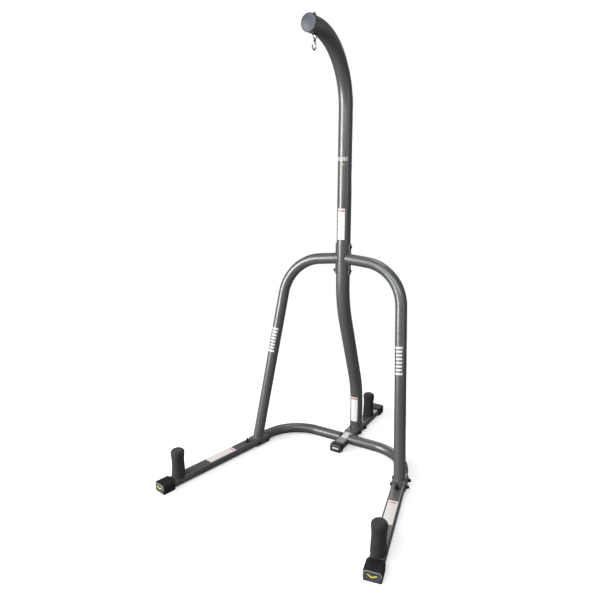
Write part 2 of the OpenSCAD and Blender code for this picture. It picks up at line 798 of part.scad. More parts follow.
upper_mast();
lower_mast();
mast_tip_cap();
mast_bracket();
left_arch();
right_arch();
left_arch_foot();
right_arch_foot();
mast_foot();
centre_tube();
left_crossbar();
right_crossbar();
rear_spigot();
left_leg();
right_leg();
rear_leg();
left_foot_cap();
right_foot_cap();
rear_foot_cap();
centre_foot_cap();
left_peg();
right_peg();
rear_peg();
left_foam_sleeve();
right_foam_sleeve();
rear_foam_sleeve();
mast_bolts();
arch_foot_bolts();
leg_bolts();
mast_foot_bolts();
bolt_washers();
bolt_nuts();
eye_bolt();
eye_saddle_washers();
eye_bolt_nut();
bag_hook();
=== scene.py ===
import bpy
import bmesh
import json
import math
import random
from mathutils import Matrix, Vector
from mathutils.bvhtree import BVHTree


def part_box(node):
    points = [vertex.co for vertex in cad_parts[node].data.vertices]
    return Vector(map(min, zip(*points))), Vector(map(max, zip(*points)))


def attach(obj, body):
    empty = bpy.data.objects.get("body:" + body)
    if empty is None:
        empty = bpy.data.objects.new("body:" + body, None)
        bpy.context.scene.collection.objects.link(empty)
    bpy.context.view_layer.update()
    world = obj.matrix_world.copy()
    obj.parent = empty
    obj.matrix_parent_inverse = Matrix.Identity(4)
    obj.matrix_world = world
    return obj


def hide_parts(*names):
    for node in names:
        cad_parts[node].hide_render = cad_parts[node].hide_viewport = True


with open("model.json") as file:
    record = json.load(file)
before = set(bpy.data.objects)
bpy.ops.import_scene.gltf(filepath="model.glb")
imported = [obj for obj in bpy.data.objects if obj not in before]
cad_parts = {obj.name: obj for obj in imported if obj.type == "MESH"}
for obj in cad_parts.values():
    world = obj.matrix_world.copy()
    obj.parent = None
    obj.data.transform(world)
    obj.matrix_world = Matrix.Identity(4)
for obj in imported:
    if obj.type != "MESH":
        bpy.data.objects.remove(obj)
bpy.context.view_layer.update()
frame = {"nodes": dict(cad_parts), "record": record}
nodes = frame["nodes"]
random.seed(7)

# Places and sizes that the pieces below share
mastRadius = 0.035
mastOffset = 0.21  # how far the bend carries the lower mast back
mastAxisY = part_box("upper_mast")[1].y - mastRadius
footAxisY = mastAxisY + mastOffset
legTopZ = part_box("rear_leg")[1].z
splay = math.radians(11.25)
archRadius = 0.028
rightwards, backwards, upwards = Vector((1, 0, 0)), Vector((0, 1, 0)), Vector((0, 0, 1))
sides = {"left": -1, "right": 1}


# Camera, lamps and world

cameraSetup = {"place": (1.1196, -2.1583, 1.3998), "tilt": 77.5, "turn": 30.96, "lens": 30.2}
camera = bpy.data.objects.new("camera", bpy.data.cameras.new("camera"))
camera.location = cameraSetup["place"]
camera.rotation_euler = (math.radians(cameraSetup["tilt"]), 0, math.radians(cameraSetup["turn"]))
camera.data.lens = cameraSetup["lens"]
camera.data.sensor_width = 36
bpy.context.scene.collection.objects.link(camera)
bpy.context.scene.camera = camera

lampSetup = {
    "leftBox": {"place": (-2.6, -3.0, 1.6), "target": (0, 0, 0.9), "size": (1.5, 2.2), "watts": 215},
    "frontTop": {
        "place": (0.7, -3.5, 3.1), "target": (0, 0, 1.0), "size": (4.0, 0.45), "watts": 105,
        "colour": (0.93, 0.97, 1.0),
    },
    "topBox": {"place": (0.0, 0.6, 4.2), "target": (0, 0, 0), "size": (1.6, 1.6), "watts": 35},
    "backBox": {"place": (-0.4, 4.0, 2.3), "target": (0, 0, 1.0), "size": (3.0, 1.8), "watts": 60},
    "rightStrip": {"place": (3.2, -1.2, 1.9), "target": (0, 0, 1.1), "size": (0.3, 2.4), "watts": 14},
}
for lampName, setup in lampSetup.items():
    lampData = bpy.data.lights.new(lampName, "AREA")
    lampData.shape = "RECTANGLE"
    lampData.size, lampData.size_y = setup["size"]
    lampData.energy = setup["watts"]
    lampData.color = setup.get("colour", (1.0, 1.0, 1.0))
    lamp = bpy.data.objects.new(lampName, lampData)
    lamp.location = setup["place"]
    aim = Vector(setup["target"]) - Vector(setup["place"])
    lamp.rotation_euler = aim.to_track_quat("-Z", "Y").to_euler()
    bpy.context.scene.collection.objects.link(lamp)

# The camera sees a plain white room. Everything else is lit by a much darker one, so that the
# paint keeps its depth.
worldSetup = {"colour": (1.0, 1.0, 1.0, 1), "seen": 1.0, "cast": 0.13}
world = bpy.data.worlds.new("studio")
world.use_nodes = True
worldTree = world.node_tree
worldTree.nodes["Background"].inputs["Color"].default_value = worldSetup["colour"]
rayKind = worldTree.nodes.new("ShaderNodeLightPath")
strength = worldTree.nodes.new("ShaderNodeMapRange")
strength.inputs["To Min"].default_value = worldSetup["cast"]
strength.inputs["To Max"].default_value = worldSetup["seen"]
worldTree.links.new(rayKind.outputs["Is Camera Ray"], strength.inputs["Value"])
worldTree.links.new(strength.outputs["Result"], worldTree.nodes["Background"].inputs["Strength"])
bpy.context.scene.world = world
bpy.context.scene.view_settings.view_transform = "Standard"
print("camera and lights are in place")


# Mesh helpers

def addPiece(name, verts, faces, body, material, smooth=True):
    mesh = bpy.data.meshes.new(name)
    mesh.from_pydata([tuple(v) for v in verts], [], faces)
    mesh.validate()
    mesh.update()
    if smooth:
        mesh.polygons.foreach_set("use_smooth", [True] * len(mesh.polygons))
    piece = bpy.data.objects.new(name, mesh)
    bpy.context.scene.collection.objects.link(piece)
    if material:
        mesh.materials.append(material)
    if body:
        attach(piece, body)
    return piece


def nodeTree(*names):
    # one search tree over the named CAD nodes, to lay things on their surfaces
    joined = bmesh.new()
    for name in names:
        joined.from_mesh(nodes[name].data)
    tree = BVHTree.FromBMesh(joined)
    joined.free()
    return tree


def tubeAlong(points, radii, closed, sides=10):
    # verts and faces of a round bead through the points
    count = len(points)
    verts, faces = [], []
    upright = None
    for i, p in enumerate(points):
        ahead = points[(i + 1) % count] if closed or i < count - 1 else p
        behind = points[i - 1] if closed or i > 0 else p
        along = (ahead - behind).normalized()
        if upright is None:
            upright = along.orthogonal().normalized()
        upright = (upright - along * upright.dot(along)).normalized()
        side = along.cross(upright)
        for k in range(sides):
            turn = 2 * math.pi * k / sides
            verts.append(p + radii[i] * (math.cos(turn) * upright + math.sin(turn) * side))
    for i in range(count if closed else count - 1):
        j = (i + 1) % count
        for k in range(sides):
            m = (k + 1) % sides
            faces.append((i * sides + k, i * sides + m, j * sides + m, j * sides + k))
    if not closed:
        faces.append(tuple(reversed(range(sides))))
        faces.append(tuple((count - 1) * sides + k for k in range(sides)))
    return verts, faces


def latheAround(centre, profile, steps=64):
    # a closed profile of (radius, height) pairs turned about the upright line through centre
    verts, faces = [], []
    count = len(profile)
    for s in range(steps):
        turn = 2 * math.pi * s / steps
        for r, z in profile:
            verts.append((centre[0] + r * math.cos(turn), centre[1] + r * math.sin(turn), centre[2] + z))
    for s in range(steps):
        t = (s + 1) % steps
        for k in range(count):
            m = (k + 1) % count
            faces.append((s * count + k, t * count + k, t * count + m, s * count + m))
    return verts, faces


# Shared shader effects

def startGroup(name, inputs, outputs):
    group = bpy.data.node_groups.new(name, "ShaderNodeTree")
    for socketName, kind, value in inputs:
        socket = group.interface.new_socket(socketName, in_out="INPUT", socket_type=kind)
        if value is not None:
            socket.default_value = value
    for socketName, kind in outputs:
        group.interface.new_socket(socketName, in_out="OUTPUT", socket_type=kind)
    return group, group.nodes.new("NodeGroupInput"), group.nodes.new("NodeGroupOutput")


def addNode(tree, kind, **settings):
    node = tree.nodes.new(kind)
    for key, value in settings.items():
        if key in node.inputs:
            node.inputs[key].default_value = value
        else:
            setattr(node, key, value)
    return node


def buildGrain():
    # fine surface grain as a height, with a broad cloud that changes slowly
    group, given, result = startGroup(
        "fineGrain",
        [("Grain Scale", "NodeSocketFloat", 900.0), ("Cloud Scale", "NodeSocketFloat", 7.0)],
        [("Height", "NodeSocketFloat"), ("Cloud", "NodeSocketFloat")],
    )
    place = addNode(group, "ShaderNodeTexCoord")
    grain = addNode(group, "ShaderNodeTexNoise", Detail=3.0, Roughness=0.6)
    cloud = addNode(group, "ShaderNodeTexNoise", Detail=4.0, Roughness=0.55)
    group.links.new(place.outputs["Object"], grain.inputs["Vector"])
    group.links.new(place.outputs["Object"], cloud.inputs["Vector"])
    group.links.new(given.outputs["Grain Scale"], grain.inputs["Scale"])
    group.links.new(given.outputs["Cloud Scale"], cloud.inputs["Scale"])
    group.links.new(grain.outputs["Fac"], result.inputs["Height"])
    group.links.new(cloud.outputs["Fac"], result.inputs["Cloud"])
    return group


markSetup = {"stretch": (1.0, 1.0, 0.25), "mark": (0.58, 0.78), "patch": (0.42, 0.66), "patchScale": 5.0}


def buildHandling():
    # thin scuffs and dust: a mask that is 0 on clean surface and 1 on a mark
    group, given, result = startGroup(
        "handlingMarks",
        [("Scale", "NodeSocketFloat", 26.0), ("Cover", "NodeSocketFloat", 0.35)],
        [("Mask", "NodeSocketFloat")],
    )
    place = addNode(group, "ShaderNodeTexCoord")
    stretch = addNode(group, "ShaderNodeMapping")
    stretch.inputs["Scale"].default_value = markSetup["stretch"]
    marks = addNode(group, "ShaderNodeTexNoise", Detail=6.0, Roughness=0.7, Distortion=0.6)
    patches = addNode(group, "ShaderNodeTexNoise", Scale=markSetup["patchScale"], Detail=2.0)
    sharp = addNode(group, "ShaderNodeMapRange")
    sharp.inputs["From Min"].default_value, sharp.inputs["From Max"].default_value = markSetup["mark"]
    where = addNode(group, "ShaderNodeMapRange")
    where.inputs["From Min"].default_value, where.inputs["From Max"].default_value = markSetup["patch"]
    both = addNode(group, "ShaderNodeMath", operation="MULTIPLY")
    amount = addNode(group, "ShaderNodeMath", operation="MULTIPLY")
    group.links.new(place.outputs["Object"], stretch.inputs["Vector"])
    group.links.new(stretch.outputs["Vector"], marks.inputs["Vector"])
    group.links.new(place.outputs["Object"], patches.inputs["Vector"])
    group.links.new(given.outputs["Scale"], marks.inputs["Scale"])
    group.links.new(marks.outputs["Fac"], sharp.inputs["Value"])
    group.links.new(patches.outputs["Fac"], where.inputs["Value"])
    group.links.new(sharp.outputs["Result"], both.inputs[0])
    group.links.new(where.outputs["Result"], both.inputs[1])
    group.links.new(both.outputs["Value"], amount.inputs[0])
    group.links.new(given.outputs["Cover"], amount.inputs[1])
    group.links.new(amount.outputs["Value"], result.inputs["Mask"])
    return group


grainGroup = buildGrain()
handlingGroup = buildHandling()


scuffRoughness = 0.25  # how much rougher a scuff is than the surface round it


def surfaceMaterial(name, look):
    # a grained, slightly handled surface; every finish below is one of these with its own numbers
    material = bpy.data.materials.new(name)
    material.use_nodes = True
    tree = material.node_tree
    shader = tree.nodes["Principled BSDF"]
    shader.inputs["Metallic"].default_value = look["metallic"]
    shader.inputs["Specular IOR Level"].default_value = look.get("specular", 0.5)
    shader.inputs["Coat Weight"].default_value = look.get("coat", 0.0)
    shader.inputs["Coat Roughness"].default_value = look.get("coatRoughness", 0.2)
    shader.inputs["Sheen Weight"].default_value = look.get("sheen", 0.0)
    grain = addNode(tree, "ShaderNodeGroup", node_tree=grainGroup)
    grain.inputs["Grain Scale"].default_value = look["grainScale"]
    grain.inputs["Cloud Scale"].default_value = look["cloudScale"]
    marks = addNode(tree, "ShaderNodeGroup", node_tree=handlingGroup)
    marks.inputs["Scale"].default_value = look.get("markScale", 26.0)
    marks.inputs["Cover"].default_value = look["markCover"]
    tint = addNode(tree, "ShaderNodeMix", data_type="RGBA")
    tint.inputs["A"].default_value = (*look["dark"], 1)
    tint.inputs["B"].default_value = (*look["light"], 1)
    scuffed = addNode(tree, "ShaderNodeMix", data_type="RGBA")
    scuffed.inputs["B"].default_value = (*look["scuff"], 1)
    tree.links.new(grain.outputs["Cloud"], tint.inputs["Factor"])
    tree.links.new(tint.outputs["Result"], scuffed.inputs["A"])
    tree.links.new(marks.outputs["Mask"], scuffed.inputs["Factor"])
    tree.links.new(scuffed.outputs["Result"], shader.inputs["Base Color"])
    gloss = addNode(tree, "ShaderNodeMapRange")
    gloss.inputs["To Min"].default_value = look["roughness"][0]
    gloss.inputs["To Max"].default_value = look["roughness"][1]
    rub = addNode(tree, "ShaderNodeMath", operation="MULTIPLY_ADD")
    rub.inputs[1].default_value = scuffRoughness
    tree.links.new(grain.outputs["Cloud"], gloss.inputs["Value"])
    tree.links.new(marks.outputs["Mask"], rub.inputs[0])
    tree.links.new(gloss.outputs["Result"], rub.inputs[2])
    tree.links.new(rub.outputs["Value"], shader.inputs["Roughness"])
    bump = addNode(tree, "ShaderNodeBump")
    bump.inputs["Strength"].default_value = look["bump"]
    bump.inputs["Distance"].default_value = look.get("bumpDistance", 0.0004)
    tree.links.new(grain.outputs["Height"], bump.inputs["Height"])
    tree.links.new(bump.outputs["Normal"], shader.inputs["Normal"])
    return material


finishes = {
    "frame": {
        "dark": (0.088, 0.09, 0.088), "light": (0.13, 0.132, 0.13), "scuff": (0.18, 0.182, 0.18),
        "metallic": 0.35, "roughness": (0.34, 0.44), "coat": 0.4, "coatRoughness": 0.19,
        "grainScale": 1400.0, "cloudScale": 4.0, "markCover": 0.14, "bump": 0.03,
    },
    "foot_cap": {
        "dark": (0.010, 0.010, 0.011), "light": (0.018, 0.018, 0.019), "scuff": (0.05, 0.05, 0.05),
        "metallic": 0.0, "specular": 0.28, "roughness": (0.48, 0.62), "grainScale": 1800.0,
        "cloudScale": 12.0, "markCover": 0.3, "bump": 0.3,
    },
    "tip_plug": {
        "dark": (0.022, 0.025, 0.032), "light": (0.075, 0.082, 0.1), "scuff": (0.13, 0.14, 0.16),
        "metallic": 0.1, "roughness": (0.4, 0.52), "grainScale": 1100.0, "cloudScale": 22.0,
        "markCover": 0.3, "bump": 0.25,
    },
    "foam": {
        "dark": (0.02, 0.02, 0.02), "light": (0.04, 0.04, 0.04), "scuff": (0.05, 0.05, 0.05),
        "metallic": 0.0, "specular": 0.3, "roughness": (0.7, 0.9), "sheen": 0.06, "grainScale": 1500.0,
        "cloudScale": 18.0, "markCover": 0.25, "bump": 0.7, "bumpDistance": 0.0006,
    },
    "fastener": {
        "dark": (0.02, 0.02, 0.021), "light": (0.035, 0.035, 0.036), "scuff": (0.12, 0.12, 0.12),
        "metallic": 0.6, "roughness": (0.3, 0.45), "grainScale": 2200.0, "cloudScale": 60.0,
        "markScale": 90.0, "markCover": 0.5, "bump": 0.2,
    },
    "zinc": {
        "dark": (0.4, 0.4, 0.39), "light": (0.6, 0.6, 0.58), "scuff": (0.3, 0.29, 0.27),
        "metallic": 0.85, "roughness": (0.28, 0.42), "grainScale": 2600.0, "cloudScale": 90.0,
        "markScale": 120.0, "markCover": 0.4, "bump": 0.15,
    },
}
materials = {name: surfaceMaterial(name + "Finish", look) for name, look in finishes.items()}
for entry in frame["record"]["subparts"]:
    for materialSlot in nodes[entry["node"]].material_slots:
        materialSlot.material = materials[entry["material_slot"]]

flatFinishes = {
    "whiteInk": {
        "dark": (0.62, 0.63, 0.62), "light": (0.75, 0.75, 0.74), "scuff": (0.3, 0.3, 0.3),
        "metallic": 0.0, "roughness": (0.4, 0.5), "grainScale": 1400.0, "cloudScale": 30.0,
        "markCover": 0.45, "bump": 0.1,
    },
    "fadedInk": {
        "dark": (0.4, 0.4, 0.4), "light": (0.66, 0.66, 0.65), "scuff": (0.12, 0.12, 0.12),
        "metallic": 0.0, "roughness": (0.4, 0.5), "grainScale": 1400.0, "cloudScale": 60.0,
        "markCover": 0.6, "bump": 0.1,
    },
    "dullYellow": {
        "dark": (0.2, 0.18, 0.07), "light": (0.33, 0.29, 0.11), "scuff": (0.12, 0.12, 0.1),
        "metallic": 0.0, "roughness": (0.4, 0.5), "grainScale": 1400.0, "cloudScale": 60.0,
        "markCover": 0.5, "bump": 0.1,
    },
    "tipRim": {
        "dark": (0.11, 0.118, 0.135), "light": (0.17, 0.18, 0.2), "scuff": (0.2, 0.21, 0.23),
        "metallic": 0.1, "roughness": (0.35, 0.45), "grainScale": 1600.0, "cloudScale": 40.0,
        "markCover": 0.3, "bump": 0.1,
    },
    # light grey bead along the top of each cap face: a painted highlight on that edge
    "rimEdgeHighlight": {
        "dark": (0.32, 0.32, 0.33), "light": (0.45, 0.45, 0.46), "scuff": (0.5, 0.5, 0.5),
        "metallic": 0.1, "roughness": (0.35, 0.45), "grainScale": 1600.0, "cloudScale": 40.0,
        "markCover": 0.3, "bump": 0.1,
    },
    "yellowInk": {
        "dark": (0.78, 0.62, 0.04), "light": (0.95, 0.8, 0.08), "scuff": (0.4, 0.3, 0.05),
        "metallic": 0.0, "roughness": (0.38, 0.5), "grainScale": 1400.0, "cloudScale": 30.0,
        "markCover": 0.3, "bump": 0.1,
    },
    # face plate decal on each cap's front; its lighter grey is painted light falling on the front face
    "facePlatePaintedLight": {
        "dark": (0.07, 0.07, 0.078), "light": (0.1, 0.1, 0.11), "scuff": (0.12, 0.12, 0.13),
        "metallic": 0.2, "roughness": (0.32, 0.45), "grainScale": 1500.0, "cloudScale": 25.0,
        "markCover": 0.3, "bump": 0.2,
    },
}
for name, look in flatFinishes.items():
    materials[name] = surfaceMaterial(name, look)


printLayout = {"bar": (0.3, 0.68), "gaps": (0.38, 1.1), "across": (0.1, 0.9), "along": (0.05, 0.84)}


def stickerMaterial(name, look):
    # printed paper: a band at one end and rows of grey bars, laid out on the sticker's own UV
    material = bpy.data.materials.new(name)
    material.use_nodes = True
    tree = material.node_tree
    shader = tree.nodes["Principled BSDF"]
    shader.inputs["Roughness"].default_value = look["roughness"]
    shader.inputs["Coat Weight"].default_value = look["coat"]
    uv = addNode(tree, "ShaderNodeUVMap")
    parts = addNode(tree, "ShaderNodeSeparateXYZ")
    tree.links.new(uv.outputs["UV"], parts.inputs["Vector"])

    def between(socket, low, high):
        above = addNode(tree, "ShaderNodeMath", operation="GREATER_THAN")
        above.inputs[1].default_value = low
        below = addNode(tree, "ShaderNodeMath", operation="LESS_THAN")
        below.inputs[1].default_value = high
        both = addNode(tree, "ShaderNodeMath", operation="MULTIPLY")
        tree.links.new(socket, above.inputs[0])
        tree.links.new(socket, below.inputs[0])
        tree.links.new(above.outputs["Value"], both.inputs[0])
        tree.links.new(below.outputs["Value"], both.inputs[1])
        return both.outputs["Value"]

    def times(first, second, factor=1.0):
        product = addNode(tree, "ShaderNodeMath", operation="MULTIPLY")
        scaled = addNode(tree, "ShaderNodeMath", operation="MULTIPLY")
        scaled.inputs[1].default_value = factor
        tree.links.new(first, product.inputs[0])
        tree.links.new(second, product.inputs[1])
        tree.links.new(product.outputs["Value"], scaled.inputs[0])
        return scaled.outputs["Value"]

    rows = addNode(tree, "ShaderNodeMath", operation="MULTIPLY")
    rows.inputs[1].default_value = look["rows"]
    row = addNode(tree, "ShaderNodeMath", operation="FRACT")
    tree.links.new(parts.outputs["Y"], rows.inputs[0])
    tree.links.new(rows.outputs["Value"], row.inputs[0])
    ragged = addNode(tree, "ShaderNodeTexNoise", Scale=look["rows"] * 1.3, Detail=0.0)
    ragged.noise_dimensions = "2D"
    tree.links.new(uv.outputs["UV"], ragged.inputs["Vector"])
    words = between(ragged.outputs["Fac"], *printLayout["gaps"])
    bars = times(between(row.outputs["Value"], *printLayout["bar"]), words)
    bars = times(bars, between(parts.outputs["X"], *printLayout["across"]), look["barStrength"])
    bars = times(bars, between(parts.outputs["Y"], *printLayout["along"]))
    paper = addNode(tree, "ShaderNodeMix", data_type="RGBA")
    paper.inputs["A"].default_value = (*look["paper"], 1)
    paper.inputs["B"].default_value = (*look["bar"], 1)
    tree.links.new(bars, paper.inputs["Factor"])
    banded = addNode(tree, "ShaderNodeMix", data_type="RGBA")
    banded.inputs["B"].default_value = (*look["band"], 1)
    tree.links.new(paper.outputs["Result"], banded.inputs["A"])
    bandLong = between(parts.outputs["Y"], *look["bandSpan"])
    band = times(bandLong, between(parts.outputs["X"], *look["bandSides"]))
    tree.links.new(band, banded.inputs["Factor"])
    tree.links.new(banded.outputs["Result"], shader.inputs["Base Color"])
    return material


stickerLooks = {
    "mastSticker": {
        "paper": (0.86, 0.84, 0.82), "bar": (0.5, 0.47, 0.46), "band": (0.55, 0.05, 0.04),
        "bandSpan": (0.905, 0.958), "bandSides": (0.04, 0.96), "rows": 22.0, "barStrength": 0.35,
        "roughness": 0.4, "coat": 0.3,
    },
    "legSticker": {
        "paper": (0.72, 0.67, 0.63), "bar": (0.42, 0.38, 0.36), "band": (0.5, 0.1, 0.09),
        "bandSpan": (0.895, 0.935), "bandSides": (0.16, 0.86), "rows": 24.0, "barStrength": 0.35,
        "roughness": 0.42, "coat": 0.3,
    },
    "silverSticker": {
        "paper": (0.6, 0.6, 0.59), "bar": (0.35, 0.35, 0.35), "band": (0.55, 0.55, 0.54),
        "bandSpan": (0.92, 0.95), "bandSides": (0.1, 0.9), "rows": 9.0, "barStrength": 0.4,
        "roughness": 0.35, "coat": 0.3,
    },
}
for name, look in stickerLooks.items():
    materials[name] = stickerMaterial(name, look)
print("materials are ready")


# Stickers and painted marks

rayStart, rayReach = 0.12, 0.3  # how far off a surface the rays start, and how far they look
decalSink = 0.0001  # how deep a decal's back lies in the surface


def strike(tree, centre, across, up, place):
    # where a ray from outside meets the surface over a place on a plane, and which way the surface faces
    out = across.cross(up).normalized()
    start = Vector(centre) + across * place[0] + up * place[1] + out * rayStart
    return tree.ray_cast(start, -out, rayReach)[:2]


def layDecal(
    name, target, centre, across, up, size, materialName, grid=(10, 4), lean=0.0,
    thick=0.0002, rounding=0.0,
):
    # a thin closed patch pressed on to a node's surface; across x up points away from the surface
    across, up = Vector(across).normalized(), Vector(up).normalized()
    out = across.cross(up).normalized()
    tree = nodeTree(target)
    cols, rows = grid
    top, bottom, uvs = [], [], []
    for j in range(rows + 1):
        for i in range(cols + 1):
            u, v = i / cols, j / rows
            sideways, upward = (u - 0.5) * size[0], (v - 0.5) * size[1]
            if rounding:  # pulls the corners in
                pull = (abs(2 * u - 1) * abs(2 * v - 1)) ** 4
                sideways *= 1 - pull * rounding / size[0]
                upward *= 1 - pull * rounding / size[1]
            hit, normal = strike(tree, centre, across, up, (sideways + lean * upward, upward))
            if hit is None:
                return None
            if normal.dot(out) < 0:
                normal = -normal
            top.append(hit + normal * (thick + decalSink))
            bottom.append(hit - normal * decalSink)
            uvs.append((u, v))
    count = len(top)
    faces = []
    for j in range(rows):
        for i in range(cols):
            a = j * (cols + 1) + i
            quad = (a, a + 1, a + cols + 2, a + cols + 1)
            faces.append(quad)
            faces.append(tuple(count + k for k in reversed(quad)))
    rim = list(range(cols + 1)) + [(j + 1) * (cols + 1) + cols for j in range(rows)]
    rim += [rows * (cols + 1) + i for i in reversed(range(cols))]
    rim += [j * (cols + 1) for j in reversed(range(1, rows))]
    for k, a in enumerate(rim):
        b = rim[(k + 1) % len(rim)]
        faces.append((b, a, count + a, count + b))
    piece = addPiece(name, top + bottom, faces, "stand", materials[materialName], smooth=False)
    layer = piece.data.uv_layers.new(name="print")
    for loop in piece.data.loops:
        layer.data[loop.index].uv = uvs[loop.vertex_index % count]
    return piece


stickers = {
    "upperMastSticker": {
        "node": "upper_mast", "y": mastAxisY, "z": (1.150, 1.302), "width": 0.038,
        "look": "mastSticker",
    },
    "lowerMastSticker": {
        "node": "lower_mast", "y": footAxisY, "z": (0.084, 0.234), "width": 0.040,
        "look": "mastSticker",
    },
}
for name, sticker in stickers.items():
    low, high = sticker["z"]
    centre = (0, sticker["y"], (low + high) / 2)
    size = (sticker["width"], high - low)
    layDecal(name, sticker["node"], centre, rightwards, upwards, size, sticker["look"], grid=(14, 20))

# How far each foam sleeve's middle is from the free end of its leg
sleeveFromEnd = {"left": 0.109, "right": 0.109, "rear": 0.160}


def legDirections(label):
    # along the leg towards its foot, and across it to the right, both level
    if label == "rear":
        return backwards, -rightwards
    side = sides[label]
    along = Vector((side * math.sin(splay), -math.cos(splay), 0))
    across = Vector((math.cos(splay), side * math.sin(splay), 0))
    return along, across


def sleeveCentre(label):
    low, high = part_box(label + "_foam_sleeve")
    return Vector(((low.x + high.x) / 2, (low.y + high.y) / 2, low.z))


def legPoint(label, fromEnd, z=None):
    # a point over the middle of a leg, at a distance from its free end
    along, across = legDirections(label)
    point = sleeveCentre(label) + along * (sleeveFromEnd[label] - fromEnd)
    return Vector((point.x, point.y, legTopZ if z is None else z))


legStickerSetup = {"fromEnd": 0.3725, "size": (0.044, 0.169)}
for label in sides:
    along, across = legDirections(label)
    centre = legPoint(label, legStickerSetup["fromEnd"])
    node, size = label + "_leg", legStickerSetup["size"]
    layDecal(label + "LegSticker", node, centre, across, -along, size, "legSticker", grid=(4, 14))
centreStickerSetup = {"centre": (0, mastAxisY + 0.077, legTopZ), "size": (0.040, 0.066)}
layDecal(
    "centreSticker", "centre_tube", centreStickerSetup["centre"], rightwards, backwards,
    centreStickerSetup["size"], "silverSticker", grid=(4, 6),
)
print("stickers are on")


scanSetup = {"steps": 60, "back": 0.3, "reach": 0.6}


def tubeCentre(tree, at, cast, scan, radius, spread=0.12):
    # centre of the tube that passes near a point: parallel rays scan sideways, and the middle of
    # the hits gives the centre line
    at, steps = Vector(at), scanSetup["steps"]
    hits = []
    for k in range(-steps, steps + 1):
        start = at + scan * (spread * k / steps) - cast * scanSetup["back"]
        hit = tree.ray_cast(start, cast, scanSetup["reach"])[0]
        if hit is not None:
            hits.append((k, hit))
    middle = sum(k for k, hit in hits) / len(hits)
    nearest = min(hits, key=lambda pair: (pair[1] - at).dot(cast))[1]
    depth = (nearest - at).dot(cast) + radius
    return at + scan * (spread * middle / steps) + cast * depth


archTrees = {label: nodeTree(label + "_arch") for label in sides}
archLegSetup = {"aside": 0.358, "ahead": 0.09}


def archLegAt(label, z):
    # centre of an arch's leg at a height
    at = (sides[label] * archLegSetup["aside"], mastAxisY - archLegSetup["ahead"], z)
    return tubeCentre(archTrees[label], at, backwards, rightwards, archRadius)


barMarks = {
    "middleZ": {"left": 0.592, "right": 0.599}, "count": 8, "pitch": 0.0172, "height": 0.0105,
    "endWidth": 0.036, "innerWidth": 0.03024, "lean": 0.175, "slopeOver": 0.03,
}
for label in sides:
    for k in range(barMarks["count"]):
        z = barMarks["middleZ"][label] + (k - (barMarks["count"] - 1) / 2) * barMarks["pitch"]
        up = archLegAt(label, z + barMarks["slopeOver"]) - archLegAt(label, z - barMarks["slopeOver"])
        up.normalize()
        across = (rightwards - up * up.x).normalized()
        atEnd = k in (0, barMarks["count"] - 1)
        size = (barMarks["endWidth" if atEnd else "innerWidth"], barMarks["height"])
        leaning = up + across * barMarks["lean"]
        name, node = f"{label}ArchBar{k + 1}", label + "_arch"
        layDecal(name, node, archLegAt(label, z), across, leaning, size, "whiteInk", grid=(10, 2))

mastMark = {
    "z": 1.538, "count": 6, "pitch": 0.0088, "width": 0.0058, "height": 0.017, "endHeight": 0.02125,
    "lean": 0.2, "yellowZ": 1.512, "yellow": (0.024, 0.0075), "yellowLean": 0.4,
}
for k in range(mastMark["count"]):
    x = (k - (mastMark["count"] - 1) / 2) * mastMark["pitch"]
    atEnd = k in (0, mastMark["count"] - 1)
    size = (mastMark["width"], mastMark["endHeight" if atEnd else "height"])
    centre, leaning = (x, mastAxisY, mastMark["z"]), (mastMark["lean"], 0, 1)
    layDecal(f"mastBar{k + 1}", "upper_mast", centre, rightwards, leaning, size, "fadedInk", grid=(3, 2))
layDecal(
    "mastYellow", "upper_mast", (0, mastAxisY, mastMark["yellowZ"]), rightwards, upwards,
    mastMark["yellow"], "dullYellow", grid=(6, 2), lean=mastMark["yellowLean"],
)
print("painted marks are on")


# Foot cap faces

faceSetup = {
    "fromEnd": 0.02, "middleZ": 0.0225, "size": (0.066, 0.040), "rounding": 0.010, "thick": 0.0004,
    "rim": {"rounding": 0.010, "drop": 0.55, "bead": 0.0015},
}
strokes = {
    "Short": {"at": (-0.0108, 0.0022), "size": (0.0185, 0.0054), "turn": -32},
    "Long": {"at": (0.0068, 0.0012), "size": (0.0215, 0.0054), "turn": 22},
}
strokeThick = 0.0008
rimSteps = {"side": 6, "corner": 8, "top": 12}
rimTaper = {"start": 0.35, "growth": 0.3}


def layRim(name, target, centre, across, size, rim):
    # a slim raised edge over the top of an upright face and part of the way down both of its sides,
    # coloured light grey as a painted highlight along that edge
    tree = nodeTree(target)
    halfWidth, halfHeight = size[0] / 2, size[1] / 2
    rounding, drop = rim["rounding"], rim["drop"] * size[1]
    flat = []
    for k in range(rimSteps["side"] + 1):
        flat.append((-halfWidth, halfHeight - drop + (drop - rounding) * k / rimSteps["side"]))
    for k in range(1, rimSteps["corner"] + 1):
        turn = math.pi / 2 * k / rimSteps["corner"]
        inset, fall = rounding * (1 - math.cos(turn)), rounding * (1 - math.sin(turn))
        flat.append((-halfWidth + inset, halfHeight - fall))
    half = list(flat)
    for k in range(1, rimSteps["top"]):
        flat.append(((2 * k / rimSteps["top"] - 1) * (halfWidth - rounding), halfHeight))
    flat += [(-x, y) for x, y in reversed(half)]
    points = [strike(tree, centre, across, upwards, place)[0] for place in flat]
    points = [point for point in points if point is not None]
    radii = []
    for k in range(len(points)):
        fromTip = min(k, len(points) - 1 - k)
        radii.append(rim["bead"] * min(1.0, rimTaper["start"] + rimTaper["growth"] * fromTip))
    verts, faces = tubeAlong(points, radii, False, sides=8)
    return addPiece(name, verts, faces, "stand", materials["rimEdgeHighlight"])


